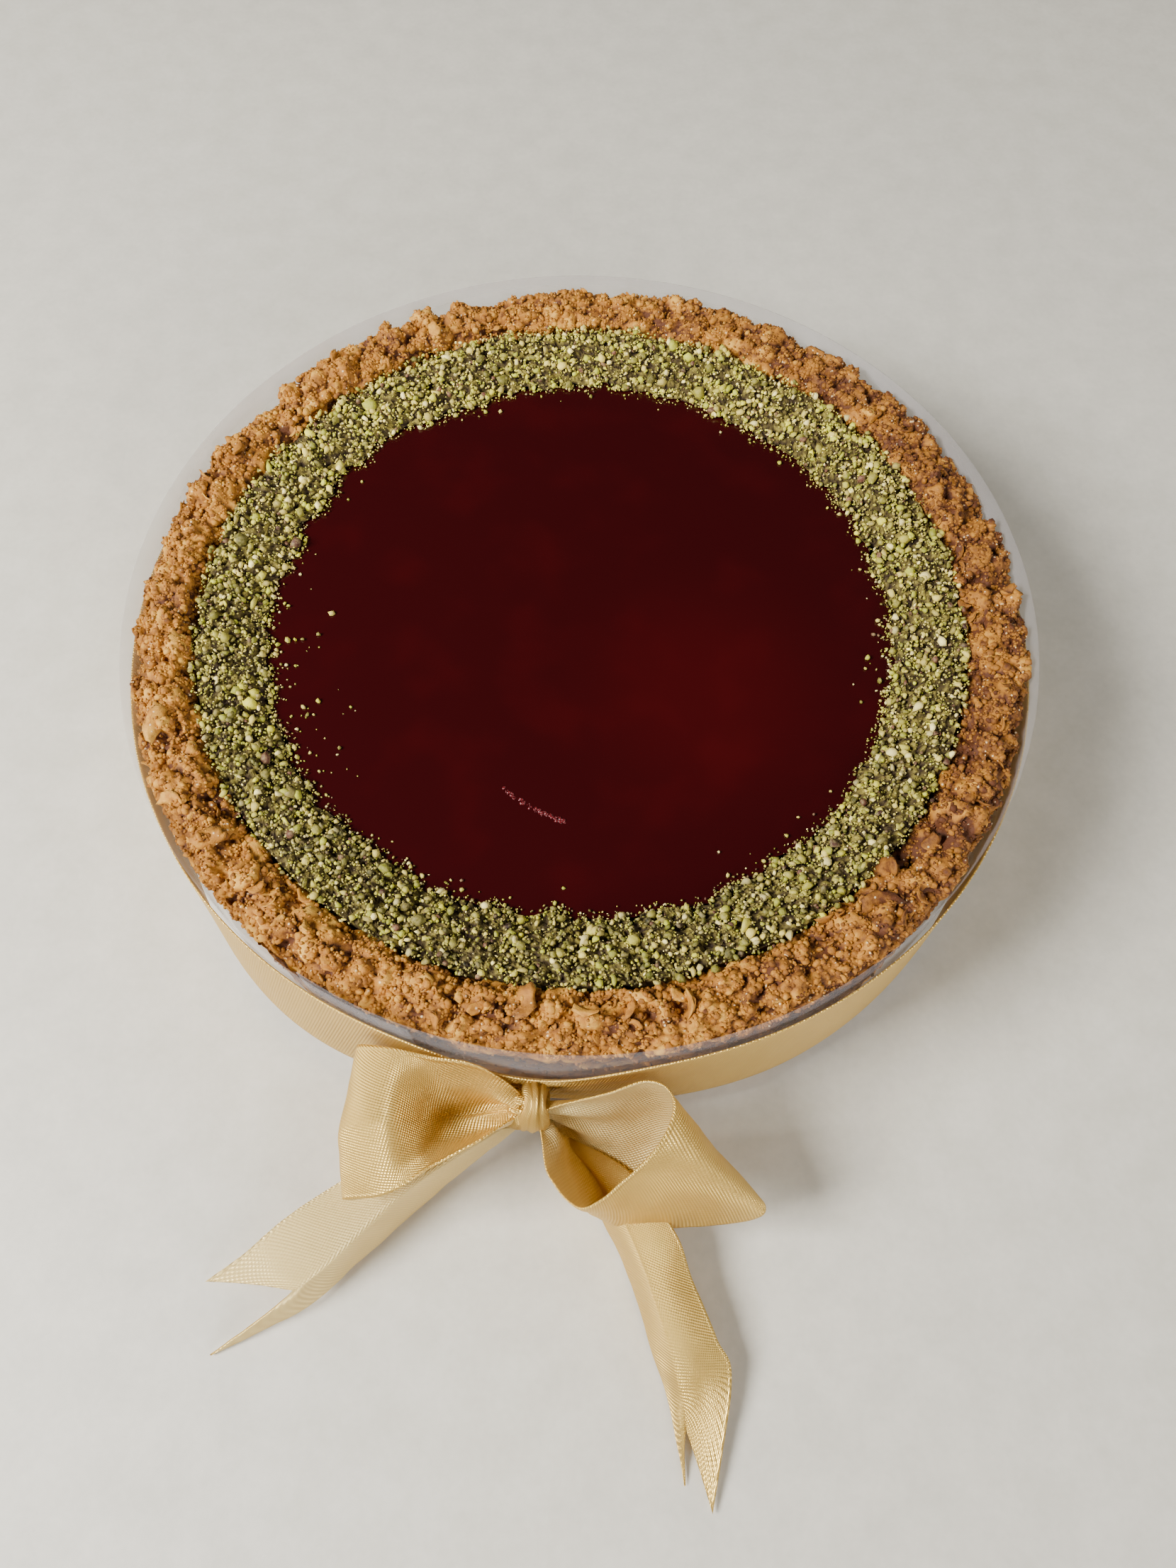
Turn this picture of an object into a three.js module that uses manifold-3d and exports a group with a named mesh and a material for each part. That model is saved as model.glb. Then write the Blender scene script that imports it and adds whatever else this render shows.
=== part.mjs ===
// A small baked cheesecake in a tall biscuit crust, under a dark fruit glaze edged with chopped
// pistachio. A clear collar stands round it, tied with a satin ribbon and a bow at the front.
// Millimetres, +Z up. The origin is the middle of the base, and the bow faces -Y.

import * as THREE from "three";
import { mergeVertices } from "three/addons/utils/BufferGeometryUtils.js";
import Module from "manifold-3d";

// Driving dimensions of the cake
const CAKE_RADIUS = 82.5;
const SHOULDER_HEIGHT = 36.7;
const RIM_CREST = 1.6; // the rim's lumps stand this much above the shoulder
const CRUST_WALL = 10.2;
const RECESS_FLOOR = 28.6;

// Driving dimensions of the toppings
const GAP = 0.3; // clearance between pieces that touch
const GLAZE_TOP = 32.6;
const RING_INNER = 59.8;
const RING_HEIGHT = 3.6;
const GRAIN_COUNT = 70;
const GRAIN_SIZE = [1.1, 1.7]; // half-sizes of the larger nut pieces

// Driving dimensions of the collar and the ribbon
const COLLAR_HEIGHT = 40;
const COLLAR_RADIUS = 84.3;
const COLLAR_THICKNESS = 0.2;
const COLLAR_GROWTH = 0.45; // the strip spirals out by this much in one turn
const COLLAR_START = THREE.MathUtils.degToRad(238);
const COLLAR_LAP = THREE.MathUtils.degToRad(14);
const RIBBON_WIDTH = 25;
const RIBBON_THICKNESS = 0.4;
const RIBBON_MIDDLE = 22.5; // height of the band's centreline
const BAND_RADIUS = COLLAR_RADIUS + COLLAR_GROWTH + COLLAR_THICKNESS + GAP + RIBBON_THICKNESS / 2 + 0.1;
const KNOT_CENTRE = [-7.5, -89, 22];
const KNOT_RADII = [4.6, 3.8, 5.8];

const TAU = 2 * Math.PI;

// Noise on a seeded lattice, from -1 to 1
function latticeValue(x, y, z) {
  let h = Math.imul(x, 374761393) + Math.imul(y, 668265263) + Math.imul(z, 2147483647);
  h = Math.imul(h ^ (h >>> 13), 1274126177);
  return ((h ^ (h >>> 16)) >>> 0) / 2147483648 - 1;
}

function noise(x, y, z) {
  const cell = [Math.floor(x), Math.floor(y), Math.floor(z)];
  const part = [x - cell[0], y - cell[1], z - cell[2]].map((t) => t * t * (3 - 2 * t));
  let sum = 0;
  for (let corner = 0; corner < 8; corner++) {
    const step = [corner & 1, (corner >> 1) & 1, (corner >> 2) & 1];
    const weight = step.reduce((w, s, k) => w * (s ? part[k] : 1 - part[k]), 1);
    sum += weight * latticeValue(cell[0] + step[0], cell[1] + step[1], cell[2] + step[2]);
  }
  return sum;
}

// A small seeded random generator
function makeRandom(seed) {
  let state = seed;
  return () => {
    state = (state + 0x6d2b79f5) | 0;
    let t = Math.imul(state ^ (state >>> 15), 1 | state);
    t = (t + Math.imul(t ^ (t >>> 7), 61 | t)) ^ t;
    return ((t ^ (t >>> 14)) >>> 0) / 4294967296;
  };
}

// Solids and booleans
const wasm = await Module();
wasm.setup();

function weld(geometry) {
  const bare = geometry.clone();
  bare.deleteAttribute("normal");
  bare.deleteAttribute("uv");
  const merged = mergeVertices(bare, 1e-4);
  const kept = [];
  const index = merged.index.array;
  for (let i = 0; i < index.length; i += 3) {
    const [a, b, c] = [index[i], index[i + 1], index[i + 2]];
    if (a !== b && b !== c && c !== a) kept.push(a, b, c);
  }
  merged.setIndex(kept);
  return merged;
}

function toSolid(geometry) {
  const welded = weld(geometry);
  const mesh = new wasm.Mesh({
    numProp: 3,
    vertProperties: new Float32Array(welded.attributes.position.array),
    triVerts: new Uint32Array(welded.index.array),
  });
  return new wasm.Manifold(mesh);
}

function toGeometry(solid) {
  const mesh = solid.getMesh();
  const geometry = new THREE.BufferGeometry();
  geometry.setAttribute("position", new THREE.BufferAttribute(mesh.vertProperties, 3));
  geometry.setIndex(new THREE.BufferAttribute(mesh.triVerts, 1));
  return geometry;
}

function fuse(geometries) {
  return toGeometry(geometries.map(toSolid).reduce((whole, piece) => whole.add(piece)));
}

// A profile of [radius, height] points turned about +Z
function turned(profile, segments) {
  const points = profile.map(([radius, height]) => new THREE.Vector2(radius, height));
  return weld(new THREE.LatheGeometry(points, segments).rotateX(Math.PI / 2));
}

// Moves every vertex by a rule that takes and gives a radius, an angle and a height
function reshape(geometry, rule) {
  const position = geometry.attributes.position;
  for (let i = 0; i < position.count; i++) {
    const angle = Math.atan2(position.getY(i), position.getX(i));
    const radius = Math.hypot(position.getX(i), position.getY(i));
    const [newRadius, newHeight] = rule(radius, angle, position.getZ(i));
    position.setXYZ(i, newRadius * Math.cos(angle), newRadius * Math.sin(angle), newHeight);
  }
  return geometry;
}

// A rough piece: a twenty-sided solid, squashed, turned and set down
function chip(radii, place, turn) {
  const piece = new THREE.IcosahedronGeometry(1, 0);
  piece.scale(...radii);
  piece.applyMatrix4(new THREE.Matrix4().makeRotationFromEuler(new THREE.Euler(...turn)));
  return piece.translate(...place);
}

// The cake: a pressed crumb wall and its filling, one solid with a recess for the toppings
const RECESS_RADIUS = CAKE_RADIUS - CRUST_WALL;

function crustWave(angle) {
  const [c, s] = [Math.cos(angle), Math.sin(angle)];
  return noise(c * 2.2 + 9, s * 2.2 + 4, 1.5);
}

function crustRelief(radius, angle, height) {
  const [x, y] = [radius * Math.cos(angle), radius * Math.sin(angle)];
  const crag = noise(x * 0.22, y * 0.22, height * 0.22) + 0.6 * noise(x * 0.5 + 7, y * 0.5, height * 0.5);
  const outer = radius > CAKE_RADIUS - 1.6;
  const top = height > SHOULDER_HEIGHT - 3;
  if (outer && !top) {
    return [radius + crustWave(angle) + 0.35 * crag * Math.min(height / 4, 1), height];
  }
  if (top && radius > RECESS_RADIUS + 0.2) {
    return [radius + crustWave(angle) * (outer ? 1 : 0.5) + 0.45 * crag, height + 1.5 * crag];
  }
  return [radius, height];
}

function makeCake() {
  const top = SHOULDER_HEIGHT + RIM_CREST;
  const profile = [
    [0, 0],
    [CAKE_RADIUS - 0.8, 0],
    [CAKE_RADIUS, 1.5],
    [CAKE_RADIUS, 10],
    [CAKE_RADIUS, 18],
    [CAKE_RADIUS, 25],
    [CAKE_RADIUS - 0.3, 31],
    [CAKE_RADIUS - 1.3, SHOULDER_HEIGHT - 1.5],
    [CAKE_RADIUS - 3.2, top - 0.7],
    [CAKE_RADIUS - 5.4, top],
    [CAKE_RADIUS - 7.6, top - 0.5],
    [CAKE_RADIUS - 9.4, SHOULDER_HEIGHT - 1],
    [RECESS_RADIUS, GLAZE_TOP],
    [RECESS_RADIUS, RECESS_FLOOR],
    [0, RECESS_FLOOR],
  ];
  const wall = reshape(turned(profile, 132), crustRelief);
  const random = makeRandom(11);
  const flakes = [];
  const flakeCount = 22;
  for (let i = 0; i < flakeCount; i++) {
    const angle = ((i + random() * 0.8) / flakeCount) * TAU;
    const radius = CAKE_RADIUS - 3.4 - 4.2 * random();
    const size = 1.6 + 1.3 * random();
    const [, height] = crustRelief(radius, angle, top - 0.6);
    const place = [radius * Math.cos(angle), radius * Math.sin(angle), height];
    const turn = [0.7 * random(), 0.7 * random() - 0.35, angle + 1.2 + random()];
    flakes.push(chip([size * 1.35, size * 0.8, 0.9], place, turn));
  }
  return fuse([wall, ...flakes]);
}

// The glaze: a set jelly that fills the recess to just below the rim
function makeGlaze() {
  const radius = RECESS_RADIUS - GAP - 0.2;
  const profile = [
    [0, RECESS_FLOOR + GAP],
    [radius, RECESS_FLOOR + GAP],
    [radius, GLAZE_TOP - 0.4],
    [radius - 1.5, GLAZE_TOP - 0.1],
    [radius * 0.6, GLAZE_TOP],
    [0, GLAZE_TOP],
  ];
  return turned(profile, 72);
}

// The nut ring: a bumpy heap of chopped pistachio, with its larger pieces fused on
function ringInnerEdge(angle) {
  const [c, s] = [Math.cos(angle), Math.sin(angle)];
  return RING_INNER + 1.1 * noise(c * 3 + 2, s * 3 + 6, 4.5) + 0.8 * noise(c * 9, s * 9, 2.5);
}

function makePistachioRing() {
  const outer = RECESS_RADIUS - 0.5;
  const foot = GLAZE_TOP + GAP;
  const across = (t) => RING_INNER + t * (outer - RING_INNER);
  const profile = [
    [across(0), foot],
    [across(1), foot],
    [across(1), foot + RING_HEIGHT * 0.85],
    [across(0.78), foot + RING_HEIGHT],
    [across(0.54), foot + RING_HEIGHT * 0.9],
    [across(0.3), foot + RING_HEIGHT * 0.65],
    [across(0.1), foot + RING_HEIGHT * 0.3],
    [across(0), foot],
  ];
  const heap = reshape(turned(profile, 124), (radius, angle, height) => {
    const t = (radius - RING_INNER) / (outer - RING_INNER);
    const moved = radius + (1 - t) * (ringInnerEdge(angle) - RING_INNER);
    if (height < foot + 0.1) return [moved, height];
    const [x, y] = [radius * Math.cos(angle), radius * Math.sin(angle)];
    return [moved, height + 0.7 * noise(x * 0.55, y * 0.55, 8.5)];
  });
  const random = makeRandom(5);
  const grains = [];
  for (let i = 0; i < GRAIN_COUNT; i++) {
    const angle = ((i * 0.618034) % 1) * TAU;
    const t = 0.12 + 0.72 * random();
    const radius = ringInnerEdge(angle) + t * (outer - RING_INNER - 1.5);
    const size = GRAIN_SIZE[0] + (GRAIN_SIZE[1] - GRAIN_SIZE[0]) * random() ** 2;
    const height = foot + RING_HEIGHT * Math.min(0.35 + 0.9 * t, 1);
    const place = [radius * Math.cos(angle), radius * Math.sin(angle), Math.max(height, foot + size)];
    const turn = [random() * TAU, random() * TAU, random() * TAU];
    grains.push(chip([size, size * 0.8, size * 0.65], place, turn));
  }
  return fuse([heap, ...grains]);
}

// The collar: one strip of clear film stood on edge, its ends lapped at the front left
function makeCollar() {
  const turn = TAU + COLLAR_LAP;
  const steps = 100;
  const spiral = (offset) =>
    Array.from({ length: steps + 1 }, (_, i) => {
      const share = (i / steps) * turn;
      const radius = COLLAR_RADIUS + (COLLAR_GROWTH * share) / TAU + offset;
      const angle = COLLAR_START + share;
      return new THREE.Vector2(radius * Math.cos(angle), radius * Math.sin(angle));
    });
  const outline = new THREE.Shape([...spiral(COLLAR_THICKNESS), ...spiral(0).reverse()]);
  const options = { depth: COLLAR_HEIGHT, bevelEnabled: false, steps: 1, curveSegments: 1 };
  return weld(new THREE.ExtrudeGeometry(outline, options));
}

// A strip of ribbon with an even thickness. place(u, v) gives its mid-surface, u along it and v across
function strip(place, along, across, closed = false) {
  const rows = closed ? along : along + 1;
  const at = (i, j) => place(i / along, j / across);
  const positions = [];
  for (const side of [0.5, -0.5]) {
    for (let i = 0; i < rows; i++) {
      for (let j = 0; j <= across; j++) {
        const lengthwise = at(closed ? i + 1 : Math.min(i + 0.5, along), j);
        lengthwise.sub(at(closed ? i - 1 : Math.max(i - 0.5, 0), j));
        const crosswise = at(i, Math.min(j + 0.5, across)).sub(at(i, Math.max(j - 0.5, 0)));
        const normal = lengthwise.cross(crosswise).normalize();
        positions.push(...at(i, j).addScaledVector(normal, side * RIBBON_THICKNESS).toArray());
      }
    }
  }
  const back = rows * (across + 1);
  const id = (i, j) => (i % rows) * (across + 1) + j;
  const faces = [];
  const quad = (a, b, c, d) => faces.push(a, b, c, a, c, d);
  for (let i = 0; i < along; i++) {
    for (let j = 0; j < across; j++) {
      const [a, b, c, d] = [id(i, j), id(i + 1, j), id(i + 1, j + 1), id(i, j + 1)];
      quad(a, b, c, d);
      quad(back + d, back + c, back + b, back + a);
    }
    quad(back + id(i, 0), back + id(i + 1, 0), id(i + 1, 0), id(i, 0));
    quad(id(i, across), id(i + 1, across), back + id(i + 1, across), back + id(i, across));
  }
  if (!closed) {
    for (let j = 0; j < across; j++) {
      quad(id(0, j), id(0, j + 1), back + id(0, j + 1), back + id(0, j));
      quad(back + id(along, j), back + id(along, j + 1), id(along, j + 1), id(along, j));
    }
  }
  const geometry = new THREE.BufferGeometry();
  geometry.setAttribute("position", new THREE.Float32BufferAttribute(positions, 3));
  geometry.setIndex(faces);
  return geometry;
}

// A free stretch of ribbon, from stations of [one edge, the middle, the other edge]
function freeStrip(stations, along, across) {
  const rails = [0, 1, 2].map((k) => {
    const points = stations.map((station) => new THREE.Vector3(...station[k]));
    return new THREE.CatmullRomCurve3(points, false, "catmullrom", 0.5);
  });
  const place = (u, v) => {
    const [edge, middle, farEdge] = rails.map((rail) => rail.getPoint(u));
    return edge
      .multiplyScalar((1 - v) * (1 - 2 * v))
      .addScaledVector(middle, 4 * v * (1 - v))
      .addScaledVector(farEdge, v * (2 * v - 1));
  };
  return strip(place, along, across);
}

// The left loop: over the top, round a soft fold and back under, dented towards the knot
const LEFT_LOOP = [
  [[-10, -88.5, 26], [-10.5, -90, 25], [-10.5, -91, 23]],
  [[-14.5, -85, 32], [-16, -88.5, 24], [-13.5, -95, 26]],
  [[-22, -83.6, 33.5], [-23, -90, 26], [-21, -99, 26]],
  [[-30, -81.8, 32], [-29.5, -93, 32], [-29.5, -103.5, 25]],
  [[-36, -80.5, 28], [-38, -94.5, 26], [-37.5, -104, 20]],
  [[-32, -81, 22], [-34.5, -93.5, 18], [-34.5, -103, 14]],
  [[-23.5, -83.4, 20], [-24, -89, 15], [-23, -98, 14]],
  [[-10.5, -88.5, 21], [-10.5, -89, 19], [-10.5, -90, 18]],
];

// The right loop: an open cone, its round mouth up and its pinched end to the right
const RIGHT_LOOP = [
  [[-4, -89.5, 26], [-4, -89.5, 23], [-3.5, -89.5, 20]],
  [[3.5, -88.5, 30], [5, -89, 20], [6.5, -90, 9]],
  [[12, -86.5, 32], [16.5, -88, 21], [20, -90.5, 11]],
  [[16, -89, 32], [23.5, -94, 25], [30, -102, 18]],
  [[14.5, -95, 32], [23.5, -101, 26], [31.5, -105.5, 16]],
  [[8.5, -101.5, 30], [15.5, -104, 19], [21.5, -106.5, 9]],
  [[1.5, -105.5, 27], [4.5, -106, 15], [7.5, -106, 5]],
  [[-3.5, -100.5, 25], [2, -99, 12], [11, -97, 6]],
  [[-4.5, -95, 24], [0.5, -93, 15], [6.5, -92, 10]],
  [[-5, -91.5, 22], [-4.5, -91, 20], [-4, -90.5, 18]],
];

// The tails: creased lengthwise, one half standing on its edge, with a swallowtail cut
const RIGHT_TAIL = [
  [[-7, -91, 16], [-6, -91, 19], [-5.5, -91.5, 19]],
  [[1, -98, 5], [3.5, -98.5, 14], [9.5, -98, 13]],
  [[6, -106, 1.5], [9, -106.5, 11.5], [17.5, -107.5, 10]],
  [[10.5, -115.5, 1.2], [13, -115.5, 11], [20.5, -115, 8]],
  [[14, -126, 1], [16.5, -125.5, 9.5], [24.5, -124, 6.5]],
  [[17.5, -134.5, 0.8], [18.5, -132.5, 7.5], [27, -130.5, 4]],
  [[20, -146, 0.6], [18.5, -137.5, 6], [23.5, -150, 0.8]],
];
const LEFT_TAIL = [
  [[-9, -91, 16], [-9.5, -91, 19], [-9.5, -91.5, 19.5]],
  [[-19.5, -97, 4], [-22, -97.5, 14], [-29, -94.5, 15]],
  [[-28.5, -104.5, 1.4], [-31, -104, 12], [-40.5, -100.5, 11]],
  [[-38, -113, 1.2], [-39.5, -112, 10.5], [-49.5, -106, 8]],
  [[-47, -120.5, 1], [-44.5, -116, 9], [-56.5, -111.5, 5]],
  [[-61.5, -127.5, 0.6], [-47, -117.5, 7.5], [-64, -116, 0.8]],
];

// The ribbon: one strip round the collar, gathered into the knot and tied in a bow
function makeRibbon() {
  const bowAngle = Math.atan2(KNOT_CENTRE[1], KNOT_CENTRE[0]);
  const gatherSpread = 0.17; // radians either side of the knot
  const gathered = 0.55; // share of the width lost at the knot
  const band = strip(
    (u, v) => {
      const angle = u * TAU;
      let away = angle - bowAngle;
      away -= TAU * Math.round(away / TAU);
      const width = RIBBON_WIDTH * (1 - gathered * Math.exp(-((away / gatherSpread) ** 2)));
      const height = RIBBON_MIDDLE + (v - 0.5) * width;
      return new THREE.Vector3(BAND_RADIUS * Math.cos(angle), BAND_RADIUS * Math.sin(angle), height);
    },
    84,
    1,
    true,
  );
  const knot = new THREE.SphereGeometry(1, 12, 8).scale(...KNOT_RADII).translate(...KNOT_CENTRE);
  return fuse([
    band,
    knot,
    freeStrip(LEFT_LOOP, 26, 4),
    freeStrip(RIGHT_LOOP, 32, 4),
    freeStrip(RIGHT_TAIL, 14, 4),
    freeStrip(LEFT_TAIL, 12, 4),
  ]);
}

const cheesecake = new THREE.Group();

function add(name, geometry, color, roughness, extra = {}) {
  const material = new THREE.MeshStandardMaterial({ color, roughness, metalness: 0, ...extra });
  const mesh = new THREE.Mesh(geometry, material);
  mesh.name = name;
  cheesecake.add(mesh);
}

add("crust_cake", makeCake(), 0xbb7c42, 0.9);
add("fruit_glaze", makeGlaze(), 0x3c0709, 0.25);
add("pistachio_ring", makePistachioRing(), 0xa6a45a, 0.85);
add("clear_collar", makeCollar(), 0xe9e5e4, 0.1, { transparent: true, opacity: 0.25 });
add("satin_ribbon", makeRibbon(), 0xcdb27e, 0.4);

export default cheesecake;
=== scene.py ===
"""A baked cheesecake in a tall biscuit crust, with a dark fruit glaze edged in chopped pistachio.
A clear collar stands round it, tied with a satin ribbon and a bow. Sizes here are millimetres in
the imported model's frame, and each mesh is turned into metres when it is finished."""

import math

import bmesh
import bpy
import numpy as np
from mathutils import Matrix, Vector


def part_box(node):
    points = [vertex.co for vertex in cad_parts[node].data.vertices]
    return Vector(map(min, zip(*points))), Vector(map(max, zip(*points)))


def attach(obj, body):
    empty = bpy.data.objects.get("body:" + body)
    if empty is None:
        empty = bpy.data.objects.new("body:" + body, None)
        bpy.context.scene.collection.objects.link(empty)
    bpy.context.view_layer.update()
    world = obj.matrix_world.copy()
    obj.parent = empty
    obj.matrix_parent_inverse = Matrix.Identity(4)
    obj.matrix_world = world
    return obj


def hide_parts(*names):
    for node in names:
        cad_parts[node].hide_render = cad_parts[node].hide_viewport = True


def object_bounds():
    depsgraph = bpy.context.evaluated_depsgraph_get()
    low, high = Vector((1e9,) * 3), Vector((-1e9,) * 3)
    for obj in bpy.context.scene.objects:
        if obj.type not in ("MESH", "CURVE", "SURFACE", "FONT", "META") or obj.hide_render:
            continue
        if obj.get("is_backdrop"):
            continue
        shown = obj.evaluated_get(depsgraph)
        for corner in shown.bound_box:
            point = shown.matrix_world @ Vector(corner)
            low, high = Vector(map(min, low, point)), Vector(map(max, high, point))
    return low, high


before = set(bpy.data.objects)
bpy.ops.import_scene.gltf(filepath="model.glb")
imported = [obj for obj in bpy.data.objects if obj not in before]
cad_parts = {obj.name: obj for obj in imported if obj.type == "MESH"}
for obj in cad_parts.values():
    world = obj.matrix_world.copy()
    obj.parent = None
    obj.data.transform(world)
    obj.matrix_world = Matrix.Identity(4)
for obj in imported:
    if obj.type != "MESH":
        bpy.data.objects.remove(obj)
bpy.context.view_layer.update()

# The camera stands over the front of the cake and looks down on it past the bow.
MM = 0.001
camera_place = Vector((1.757, -124.59, 224.4)) * MM
camera_tilt = math.radians(25.29)  # up from straight down
camera_roll = 0.0127
LENS = 27.05

camera = bpy.data.objects.new("camera", bpy.data.cameras.new("camera"))
camera.data.lens = LENS
camera.data.sensor_width = 36
camera.data.clip_start = 0.01
camera.data.clip_end = 20
camera.matrix_world = (
    Matrix.Translation(camera_place)
    @ Matrix.Rotation(camera_tilt, 4, "X")
    @ Matrix.Rotation(camera_roll, 4, "Z")
)
bpy.context.scene.collection.objects.link(camera)
bpy.context.scene.camera = camera

# Soft studio light: a wide key from the front left, a weak fill from the right, and a dim room.
# The walls are pale and the ceiling is dark, so that nothing bright shows in the glaze.
for name, place, size, power in (  # places and sizes in metres, power in watts
    ("key", (-0.54, -0.20, 0.54), 0.32, 15.5),
    ("fill", (0.95, -0.70, 0.32), 0.60, 3.5),
    ("front", (0.50, -1.05, 0.55), 0.45, 9.5),
    ("back", (0.90, 0.65, 0.75), 0.60, 3.0),
):
    lamp = bpy.data.objects.new(name, bpy.data.lights.new(name, "AREA"))
    lamp.data.size = size
    lamp.data.energy = power
    lamp.location = place
    lamp.rotation_mode = "QUATERNION"
    lamp.rotation_quaternion = (-Vector(place)).to_track_quat("-Z", "Y")
    bpy.context.scene.collection.objects.link(lamp)

room = bpy.data.worlds.new("room")
room.use_nodes = True
bpy.context.scene.world = room
WALL_LIGHT, CEILING_LIGHT = 0.25, 0.05
WALL_TOP, CEILING_START = 0.30, 0.62  # as the upward part of a view direction
room_nodes, room_links = room.node_tree.nodes, room.node_tree.links
bearing = room_nodes.new("ShaderNodeTexCoord")
upward = room_nodes.new("ShaderNodeSeparateXYZ")
walls = room_nodes.new("ShaderNodeMapRange")
walls.inputs["From Min"].default_value = WALL_TOP
walls.inputs["From Max"].default_value = CEILING_START
walls.inputs["To Min"].default_value = WALL_LIGHT
walls.inputs["To Max"].default_value = CEILING_LIGHT
room_links.new(bearing.outputs["Generated"], upward.inputs[0])
room_links.new(upward.outputs["Z"], walls.inputs["Value"])
room_links.new(walls.outputs[0], room_nodes["Background"].inputs["Strength"])
room_nodes["Background"].inputs["Color"].default_value = (1.0, 0.99, 0.97, 1)


class Wire:
    """What comes out of a node. Arithmetic on it adds Math nodes."""

    def __init__(self, finish, socket):
        self.finish = finish
        self.socket = socket

    def __add__(self, other):
        return self.finish.math("ADD", self, other)

    def __sub__(self, other):
        return self.finish.math("SUBTRACT", self, other)

    def __rsub__(self, other):
        return self.finish.math("SUBTRACT", other, self)

    def __mul__(self, other):
        return self.finish.math("MULTIPLY", self, other)

    def __pow__(self, other):
        return self.finish.math("POWER", self, other)

    __radd__ = __add__
    __rmul__ = __mul__

    def smooth(self, low, high):
        """0 below low and 1 above high, with a soft step between."""
        settings = {"interpolation_type": "SMOOTHSTEP"}
        return self.finish.node("ShaderNodeMapRange", settings, {0: self, 1: low, 2: high})


class Finish:
    """A material made of nodes."""

    def __init__(self, name, **sockets):
        self.material = bpy.data.materials.new(name)
        self.material.use_nodes = True
        self.tree = self.material.node_tree
        self.shader = self.tree.nodes["Principled BSDF"]
        self.set(**sockets)

    def set(self, **sockets):
        for name, value in sockets.items():
            self.join(self.shader.inputs[name.replace("_", " ")], value)

    def join(self, socket, value):
        if isinstance(value, Wire):
            self.tree.links.new(value.socket, socket)
        elif hasattr(value, "__len__") and len(value) == 3 and socket.type == "RGBA":
            socket.default_value = (*value, 1)
        else:
            socket.default_value = value

    def node(self, kind, settings=None, inputs=None, out=0):
        """Adds a node, sets or links its inputs, and gives one of its outputs."""
        node = self.tree.nodes.new(kind)
        for key, value in (settings or {}).items():
            if key == "stops":
                ramp = node.color_ramp
                while len(ramp.elements) < len(value):
                    ramp.elements.new(0.5)
                for element, (place, colour) in zip(ramp.elements, value):
                    element.position = place
                    element.color = (*colour, 1)
            else:
                setattr(node, key, value)
        for key, value in (inputs or {}).items():
            self.join(node.inputs[key], value)
        return Wire(self, node.outputs[out])

    def math(self, operation, *numbers):
        return self.node("ShaderNodeMath", {"operation": operation}, dict(enumerate(numbers)))

    def place(self):
        return self.node("ShaderNodeTexCoord", out="Object")

    def parts(self, vector):
        """The x, y and z of a vector."""
        parted = self.node("ShaderNodeSeparateXYZ", None, {0: vector})
        return [Wire(self, socket) for socket in parted.socket.node.outputs]

    def noise(self, size_mm, detail=2.0, rough=0.5):
        """Soft noise from 0 to 1 with lumps of about this size."""
        inputs = {"Vector": self.place(), "Scale": 1 / (size_mm * MM)}
        inputs.update({"Detail": detail, "Roughness": rough})
        return self.node("ShaderNodeTexNoise", None, inputs)

    def cells(self, size_mm):
        """The distance to the nearest of many scattered points, this far apart."""
        inputs = {"Vector": self.place(), "Scale": 1 / (size_mm * MM)}
        return self.node("ShaderNodeTexVoronoi", None, inputs, "Distance")

    def attribute(self, name, out="Fac"):
        return self.node("ShaderNodeAttribute", {"attribute_name": name}, None, out)

    def ramp(self, amount, *stops):
        return self.node("ShaderNodeValToRGB", {"stops": stops}, {"Fac": amount})

    def mix(self, amount, first, second, blend="MIX"):
        settings = {"data_type": "RGBA", "blend_type": blend}
        return self.node("ShaderNodeMix", settings, {0: amount, 6: first, 7: second}, 2)

    def bump(self, height, depth_mm, strength=1.0):
        inputs = {"Height": height, "Distance": depth_mm * MM, "Strength": strength}
        self.set(Normal=self.node("ShaderNodeBump", None, inputs))


# The floor is a wide pale slab of stone or plaster, a little mottled, with a dull finish. The cake
# stands on it, and it isn't part of the cake.
FLOOR_REACH = 2.5
STONE_DARK = (0.58, 0.545, 0.455)
STONE_PALE = (0.66, 0.62, 0.525)
slab = bmesh.new()
bmesh.ops.create_grid(slab, x_segments=1, y_segments=1, size=FLOOR_REACH)
floor_mesh = bpy.data.meshes.new("floor")
slab.to_mesh(floor_mesh)
slab.free()
floor = bpy.data.objects.new("floor", floor_mesh)
bpy.context.scene.collection.objects.link(floor)
stone = Finish("pale_slab", Roughness=0.55)
mottle = stone.noise(9, 4, 0.6) * 0.7 + stone.noise(1.5) * 0.3
stone.set(Base_Color=stone.ramp(mottle, (0.35, STONE_DARK), (0.65, STONE_PALE)))
floor_mesh.materials.append(stone.material)
floor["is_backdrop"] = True


# The cake is baked in one: crushed biscuit pressed into a tall wall round the filling. The wall is
# turned from its profile and then broken up into lumps, flakes and crevices.
def lattice(x, y, z):
    """A fixed random number from -1 to 1 for each point of a whole-number grid."""
    x, y, z = (axis.astype(np.int64).astype(np.uint32) for axis in (x, y, z))
    h = x * np.uint32(374761393) + y * np.uint32(668265263) + z * np.uint32(2147483647)
    h = (h ^ (h >> np.uint32(13))) * np.uint32(1274126177)
    return (h ^ (h >> np.uint32(16))).astype(float) / 2147483648 - 1


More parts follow.
